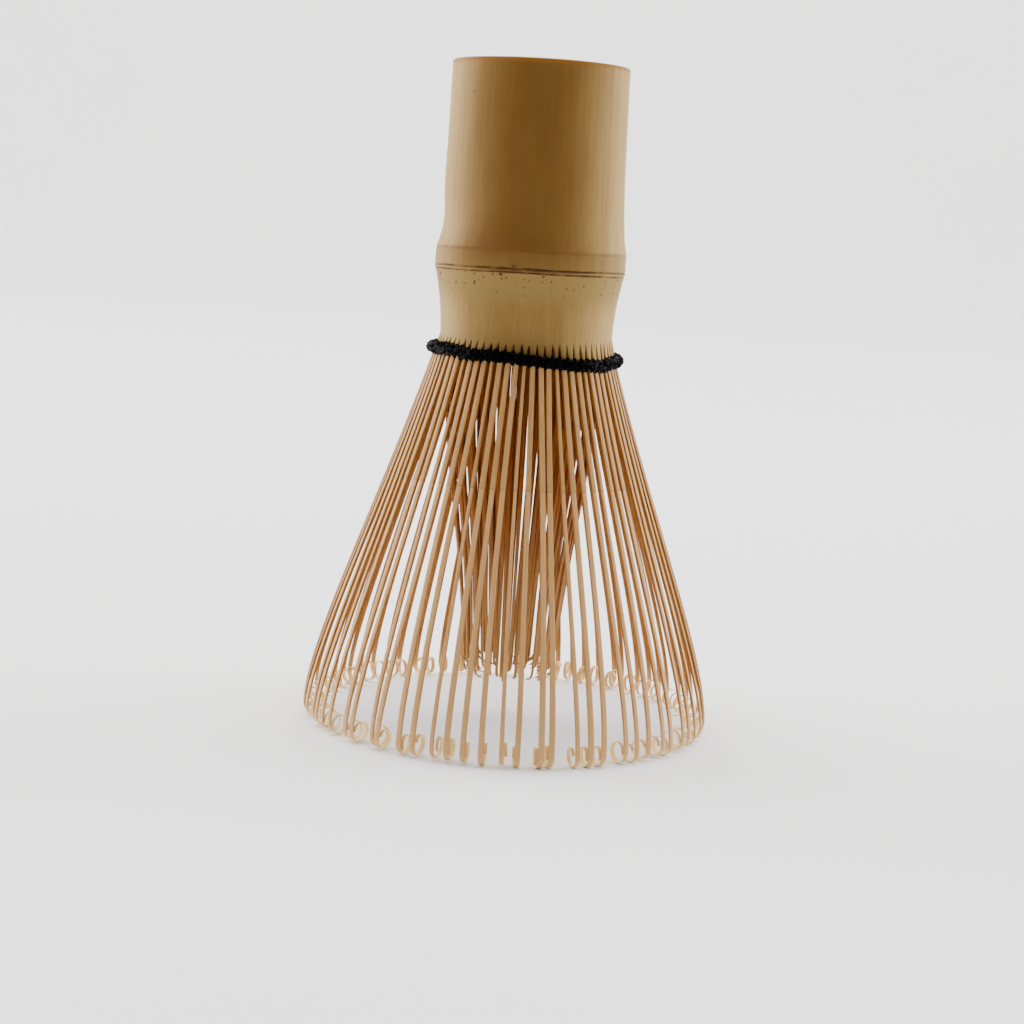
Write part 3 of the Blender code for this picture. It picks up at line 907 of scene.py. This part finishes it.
def black_thread():
    """Black cotton: matt, with a faint sheen on the fibres, and grey flecks of painted highlight on the
    fibres towards the left and right sides.
    """
    n = Nodes("black_thread")
    fibre = n.noise(n.place("Object", (6000, 6000, 6000)), detail=3, roughness=0.7)
    cloud = n.noise(n.place("Object", (1500, 1500, 1500)), detail=2)
    colour = n.mix(n.range(fibre, 0.35, 0.7), (0.0006, 0.0006, 0.0008), (0.0022, 0.0022, 0.0026))
    # Painted highlights: grey flecks on the fibres, only towards the left and right sides, where light
    # glances off the winding
    painted_sheen = n.math("MULTIPLY", n.range(cloud, 0.46, 0.62), n.range(fibre, 0.4, 0.6))
    sheen_to_the_side = n.range(n.math("ABSOLUTE", n.xyz()[0]), 0.007, 0.0135, 0.04, 1.0)
    colour = n.mix(n.math("MULTIPLY", painted_sheen, sheen_to_the_side), colour, (0.12, 0.12, 0.13))
    return n.finish(colour, 0.5, fibre, distance=0.02 * MM, strength=0.6, Specular_IOR_Level=0.025)


def floor_material():
    """Matt and pale, with a faint cloudiness."""
    n = Nodes("pale_floor")
    cloud = n.noise(n.place("Object", (6, 6, 6)), detail=2)
    return n.finish(n.mix(cloud, (0.85, 0.845, 0.84), (0.89, 0.885, 0.88)), 0.8)


def card_material():
    """Matt and dark, with a faint cloudiness."""
    n = Nodes("dark_card")
    cloud = n.noise(n.place("Object", (6, 6, 6)), detail=2)
    return n.finish(n.mix(cloud, (0.12, 0.12, 0.12), (0.15, 0.15, 0.15)), 0.9)


# ---------------------------------------------------------------- set

CARD_RADIUS = 0.95
CARD_HEIGHTS = (0.02, 1.7)
FLAT_RADIUS, COVE_RADIUS, WALL_HEIGHT = 1.5, 0.5, 2.0
FLOOR_SEGMENTS = 96
CAMERA_PLACE = (-0.567 * MM, -305.4 * MM, 75.5 * MM)
CAMERA_LENS = 70.25
CAMERA_TILT = 8.05
CAMERA_ROLL = 3.35


def make_floor():
    """A pale round floor that curves up into a wall all round, so that every side has a plain background."""
    segments = FLOOR_SEGMENTS
    quarter = np.radians(np.linspace(0, 90, 11))
    radii = [0.2, 0.5, 0.9, *(FLAT_RADIUS + COVE_RADIUS * np.sin(quarter)), FLAT_RADIUS + COVE_RADIUS]
    heights = [0.0, 0.0, 0.0, *(COVE_RADIUS * (1 - np.cos(quarter))), WALL_HEIGHT]
    azimuth = np.arange(segments) * 360 / segments
    vertices = np.vstack([cylindrical(r, azimuth, z) for r, z in zip(radii, heights)])
    faces = [tuple(range(segments))]
    for row in range(len(radii) - 1):
        for i in range(segments):
            j = (i + 1) % segments
            a, b = row * segments, (row + 1) * segments
            faces.append((a + i, b + i, b + j, a + j))
    floor = new_object("studio_floor", vertices, faces)
    floor.data.materials.append(floor_material())


def make_dark_card():
    """A curved dark card round the front, which darkens what the whisk reflects there. No camera sees it."""
    azimuth = np.linspace(-158, -22, 29)
    bottom, top = (cylindrical(CARD_RADIUS, azimuth, z) for z in CARD_HEIGHTS)
    count = len(azimuth)
    faces = [(i, i + 1, count + i + 1, count + i) for i in range(count - 1)]
    card = new_object("dark_card", np.vstack([bottom, top]), faces)
    card.data.materials.append(card_material())
    card.visible_camera = False
    card.visible_shadow = False


def area_light(name, location, target, size, energy):
    data = bpy.data.lights.new(name, "AREA")
    data.shape = "RECTANGLE"
    data.size, data.size_y = size
    data.energy = energy
    light = bpy.data.objects.new(name, data)
    light.location = location
    light.rotation_euler = (Vector(target) - Vector(location)).to_track_quat("-Z", "Y").to_euler()
    bpy.context.scene.collection.objects.link(light)


def make_world():
    """A soft dome, brighter behind the whisk than in front of it."""
    world = bpy.data.worlds.new("studio")
    world.use_nodes = True
    tree = world.node_tree
    direction = tree.nodes.new("ShaderNodeTexCoord").outputs["Generated"]
    split = tree.nodes.new("ShaderNodeSeparateXYZ")
    tree.links.new(direction, split.inputs[0])
    back = tree.nodes.new("ShaderNodeMapRange")
    tree.links.new(split.outputs["Y"], back.inputs[0])
    for socket, value in zip(back.inputs[1:], (-0.9, 0.7, 0.28, 1.0)):
        socket.default_value = value
    background = tree.nodes["Background"]
    background.inputs["Color"].default_value = (0.97, 0.975, 1.0, 1)
    tree.links.new(back.outputs[0], background.inputs["Strength"])
    bpy.context.scene.world = world


def make_lights():
    middle = (0, 0, 0.05)
    area_light("left_window", (-1.30, 0.60, 0.66), middle, (1.1, 1.32), 35.5)
    area_light("right_window", (1.30, 0.60, 0.66), middle, (1.1, 1.32), 28.0)
    area_light("overhead", (0.0, 0.16, 0.75), middle, (0.6, 0.5), 9.0)
    area_light("backdrop_light", (0.0, 0.8, 1.25), (0, 1.9, 0.6), (1.6, 0.4), 30.0)
    area_light("front_wall_light", (0.0, -0.9, 1.3), (0, -2.0, 0.5), (1.6, 0.4), 9.0)
    make_world()


def make_camera():
    """From the front and a little above, rolled so that the whisk leans to the right."""
    data = bpy.data.cameras.new("camera")
    data.sensor_width = 36.0
    data.lens = CAMERA_LENS
    camera = bpy.data.objects.new("camera", data)
    camera.location = CAMERA_PLACE
    look = Euler((math.radians(90 - CAMERA_TILT), 0, 0)).to_matrix()
    roll = Euler((0, 0, math.radians(CAMERA_ROLL))).to_matrix()
    camera.rotation_euler = (look @ roll).to_euler()
    bpy.context.scene.collection.objects.link(camera)
    bpy.context.scene.camera = camera


# ---------------------------------------------------------------- build

make_camera()
make_floor()
make_dark_card()
make_lights()

culm = make_culm()
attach(culm, "handle")
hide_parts("handle")

make_staves("outer_ribbons", "outer_tines", outer_tine, [tine_bamboo()])
make_staves("inner_ribbons", "inner_tines", inner_tine, [inner_bamboo_with_painted_shade()])

thread = make_thread()
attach(thread, "handle")
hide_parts("binding_thread", "binding_thread_inside")
